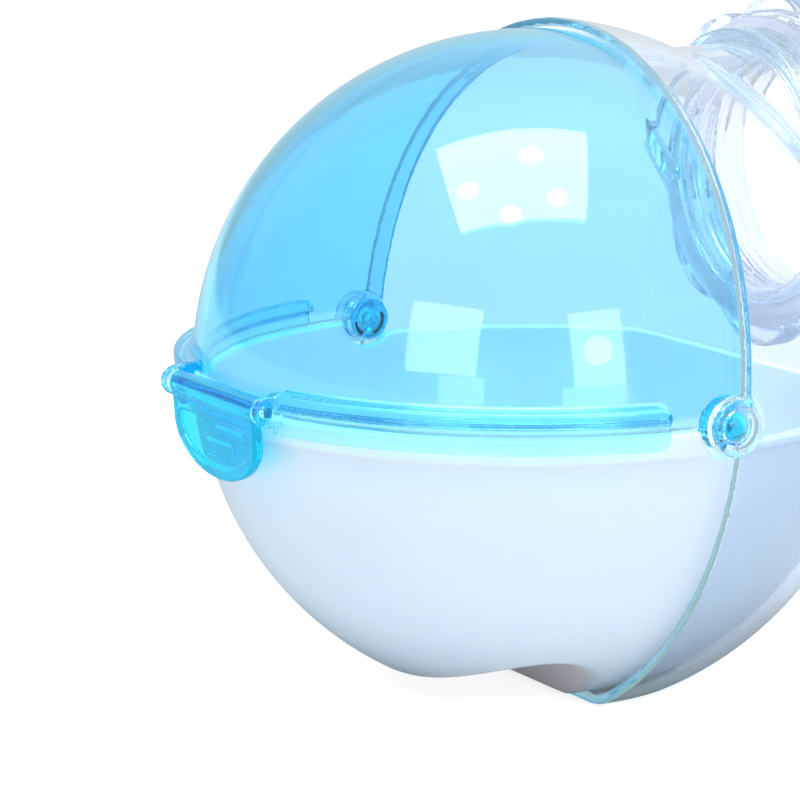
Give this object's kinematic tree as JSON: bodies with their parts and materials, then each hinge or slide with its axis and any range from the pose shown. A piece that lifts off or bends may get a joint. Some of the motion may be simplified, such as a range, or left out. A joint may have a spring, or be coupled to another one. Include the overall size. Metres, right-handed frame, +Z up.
{
  "type": "small pet bath ball",
  "caption": "Ball-shaped hang-on bath house for a small pet: white bowl, tinted flip lid with latch flap, clear rear shell, threaded neck and lobed nut.",
  "frame": {"origin": "on the resting surface, right below the middle of the ball", "axes": "+Z up, -Y towards the latch, +Y along the neck that goes through the cage wall, X along the lid's pivot axis"},
  "size_m": [0.1364, 0.1408, 0.129],
  "materials": {
    "white_plastic": "satin",
    "clear_plastic": "polished",
    "blue_clear_plastic": "polished",
    "blue_solid_plastic": "polished",
    "soft_seal": "matte"
  },
  "bodies": {
    "house": {"bowl": "white_plastic", "rear_shell": "clear_plastic", "neck_tube": "clear_plastic"},
    "lid": {"lid": "blue_clear_plastic", "pivot_peg_left": "blue_solid_plastic", "pivot_peg_right": "blue_solid_plastic", "latch_pin": "blue_solid_plastic"},
    "latch": {"latch_flap": "blue_clear_plastic"},
    "washer": {"seal_washer": "soft_seal"},
    "nut": {"lock_nut": "clear_plastic"}
  },
  "joints": [
    {"name": "lid_hinge", "type": "hinge", "parent": "house", "child": "lid", "pos_m": [0, 0, 0.06], "axis": [-1, 0, 0], "range_deg": [0, 45]},
    {"name": "latch_hinge", "type": "hinge", "parent": "lid", "child": "latch", "pos_m": [0, -0.0676, 0.0618], "axis": [-1, 0, 0], "range_deg": [0, 100]},
    {"name": "washer_slide", "type": "slide", "parent": "house", "child": "washer", "axis": [0, 1, 0], "range_m": [0, 0.0091]},
    {"name": "nut_turn", "type": "hinge", "parent": "washer", "child": "nut", "pos_m": [0, 0.06, 0.0935], "axis": [0, 1, 0], "range_deg": [0, 720]}
  ],
  "couplings": [
    {"joint": "washer_slide", "follows": "nut_turn", "m_per_rad": 0.0007162}
  ]
}
